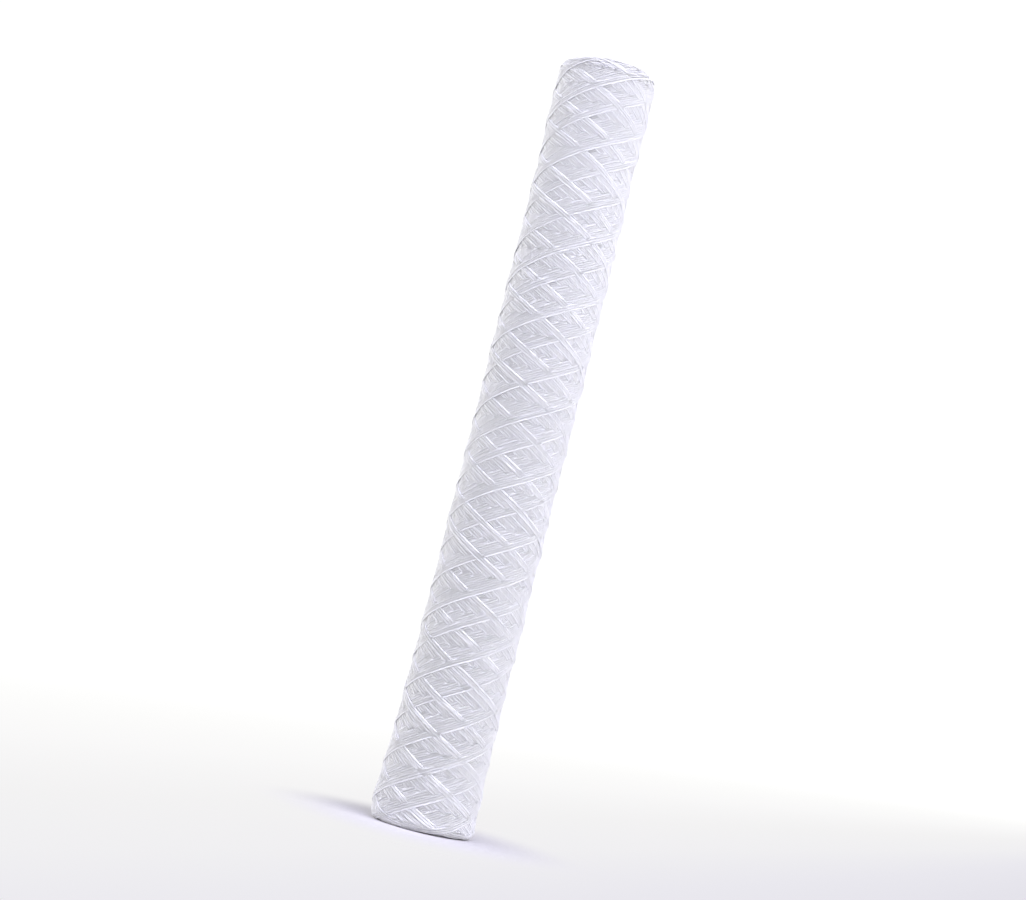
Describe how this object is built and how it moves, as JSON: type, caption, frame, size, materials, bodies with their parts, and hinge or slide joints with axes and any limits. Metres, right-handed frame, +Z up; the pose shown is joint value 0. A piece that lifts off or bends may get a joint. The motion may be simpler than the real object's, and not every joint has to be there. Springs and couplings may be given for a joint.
{
  "type": "string-wound sediment filter cartridge",
  "caption": "Cylindrical yarn-wound depth filter cartridge with a diamond lattice surface on a perforated plastic core, open at both ends.",
  "frame": {"origin": "centre of the lower end face, on the axis of the bore", "axes": "+Z up along the bore; +X to the right and -Y towards the viewer of the picture"},
  "size_m": [0.066, 0.066, 0.508],
  "materials": {
    "yarn": "soft white fibrous polypropylene yarn, lightly twisted",
    "core": "natural white moulded polypropylene, satin"
  },
  "bodies": {
    "root": {"yarn_winding": "yarn", "core_lower": "core", "core_upper": "core"}
  },
  "joints": []
}
